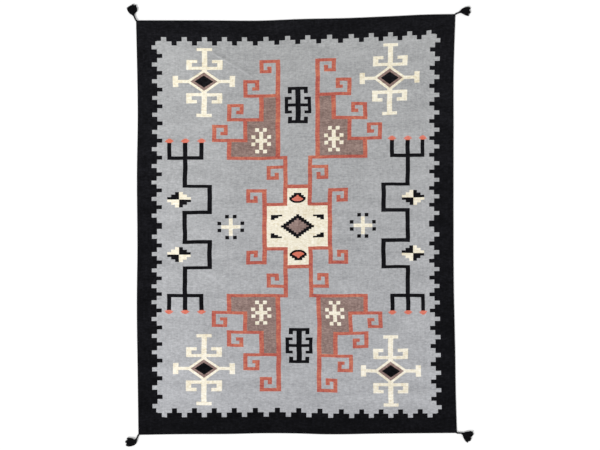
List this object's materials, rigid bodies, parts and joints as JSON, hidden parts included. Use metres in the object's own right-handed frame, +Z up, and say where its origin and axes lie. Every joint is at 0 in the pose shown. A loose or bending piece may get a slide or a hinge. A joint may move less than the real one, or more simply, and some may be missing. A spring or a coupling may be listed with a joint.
{
  "type": "southwest style rug",
  "caption": "Flat-woven wool rug with a stepped dark border and stepped geometric motifs, and a yarn tassel on a twisted tie at each corner.",
  "frame": {"origin": "on the floor, under the middle of the woven pattern", "axes": "+X towards the right selvedge, +Y along the length towards the upper end, +Z up from the floor"},
  "size_m": [2.0212, 2.56, 0.0116],
  "materials": {
    "woven_wool": "weft-faced flat weave in heathered grey wool with a near-black border and brick red, cream and taupe motifs, matt",
    "black_yarn": "twisted and loose black wool yarn, matt"
  },
  "bodies": {
    "root": {"rug": "woven_wool", "tie_nw": "black_yarn", "tie_ne": "black_yarn", "tie_sw": "black_yarn", "tie_se": "black_yarn", "tassel_nw": "black_yarn", "tassel_ne": "black_yarn", "tassel_sw": "black_yarn", "tassel_se": "black_yarn"}
  },
  "joints": []
}
